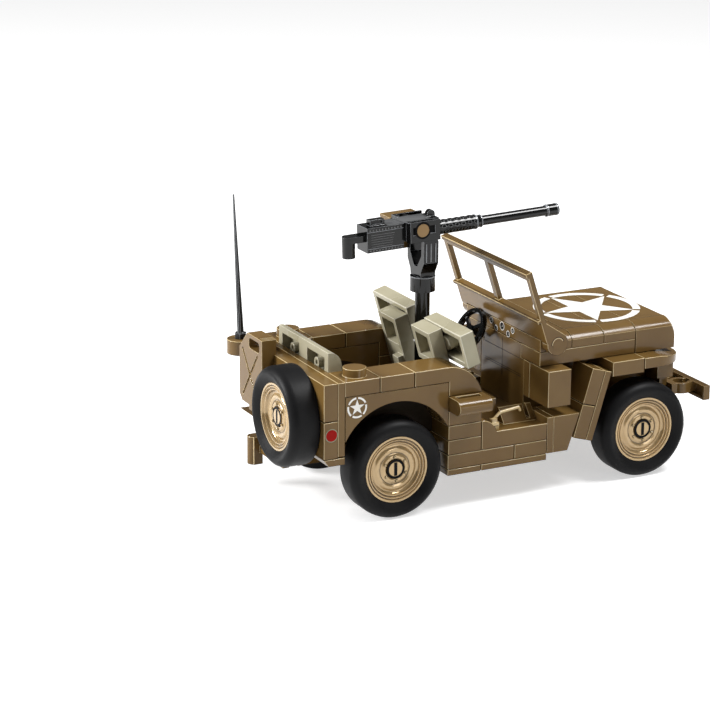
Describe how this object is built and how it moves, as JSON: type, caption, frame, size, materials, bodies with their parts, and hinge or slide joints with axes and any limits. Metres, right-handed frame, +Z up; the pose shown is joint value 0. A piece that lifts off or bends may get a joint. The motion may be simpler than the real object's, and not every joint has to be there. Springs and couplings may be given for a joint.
{
  "type": "toy brick-built army 4x4 car",
  "caption": "Small brick-built toy of an open army 4x4 car on turning wheels, with a folding windshield, seats, spare wheel and a pedestal gun.",
  "frame": {"origin": "on the ground, under the middle of the bounding box", "axes": "+X to the front of the car, +Y to its left side, +Z up"},
  "size_m": [0.1004, 0.0496, 0.062],
  "materials": {
    "tan": "glossy moulded ABS, tan brown",
    "beige": "satin moulded ABS, greyish beige",
    "black": "glossy moulded ABS, black",
    "dark": "satin flexible plastic, black",
    "rim": "pale tan plastic with a metallic look",
    "tyre": "satin black soft plastic"
  },
  "bodies": {
    "car": {"antenna": "dark", "antenna_holder": "tan", "belly_plate": "tan", "bench_back": "beige", "corner_plates": "tan", "cowl_boxes": "tan", "dash_panel": "tan", "door_posts": "tan", "door_wedges": "tan", "engine_block": "tan", "floor_plate": "tan", "front_axle_block": "tan", "front_bumper": "tan", "fuel_can": "tan", "grille": "tan", "gun_pedestal": "black", "headlamps": "tan", "hood": "tan", "hood_strips": "tan", "inner_mudguards": "tan", "left_arch_wall": "tan", "left_fender": "tan", "left_seat_back": "beige", "left_sill": "tan", "left_wall_cap": "tan", "lower_plates": "tan", "outer_mudguards": "tan", "rear_axle_block": "tan", "rear_bracket": "tan", "rear_bumperettes": "tan", "rear_cross_plate": "tan", "rear_lamps": "tan", "rear_tiles": "tan", "right_arch_wall": "tan", "right_fender": "tan", "right_seat_back": "beige", "right_sill": "tan", "right_wall_cap": "tan", "seat_bases": "tan", "seat_plates": "beige", "side_handles": "tan", "spare_holder": "rim", "spare_rim": "rim", "spare_tyre": "tyre", "steering_wheel": "black"},
    "rear_left_wheel": {"rear_left_tyre": "tyre", "rear_left_rim": "rim"},
    "rear_right_wheel": {"rear_right_tyre": "tyre", "rear_right_rim": "rim"},
    "front_left_wheel": {"front_left_tyre": "tyre", "front_left_rim": "rim"},
    "front_right_wheel": {"front_right_tyre": "tyre", "front_right_rim": "rim"},
    "windshield": {"windshield": "tan"},
    "gun_mount": {"gun_fork": "black"},
    "gun": {"gun_receiver": "black", "gun_barrel": "black", "gun_grips": "black", "ammo_box": "tan", "gun_pin": "tan"}
  },
  "joints": [
    {"name": "rear_left_wheel_spin", "type": "hinge", "parent": "car", "child": "rear_left_wheel", "pos_m": [-0.0269, 0.0208, 0.0106], "axis": [0, 1, 0], "continuous": true},
    {"name": "rear_right_wheel_spin", "type": "hinge", "parent": "car", "child": "rear_right_wheel", "pos_m": [-0.0269, -0.0208, 0.0106], "axis": [0, 1, 0], "continuous": true},
    {"name": "front_left_wheel_spin", "type": "hinge", "parent": "car", "child": "front_left_wheel", "pos_m": [0.0335, 0.0208, 0.0106], "axis": [0, 1, 0], "continuous": true},
    {"name": "front_right_wheel_spin", "type": "hinge", "parent": "car", "child": "front_right_wheel", "pos_m": [0.0335, -0.0208, 0.0106], "axis": [0, 1, 0], "continuous": true},
    {"name": "windshield_fold", "type": "hinge", "parent": "car", "child": "windshield", "pos_m": [0.0115, 0, 0.03235], "axis": [0, 1, 0], "range_deg": [-4, 75]},
    {"name": "gun_traverse", "type": "hinge", "parent": "car", "child": "gun_mount", "pos_m": [-0.01075, 0, 0.04315], "axis": [0, 0, 1], "continuous": true},
    {"name": "gun_elevation", "type": "hinge", "parent": "gun_mount", "child": "gun", "pos_m": [-0.01315, 0, 0.0566], "axis": [0, -1, 0], "range_deg": [-10, 25]}
  ]
}
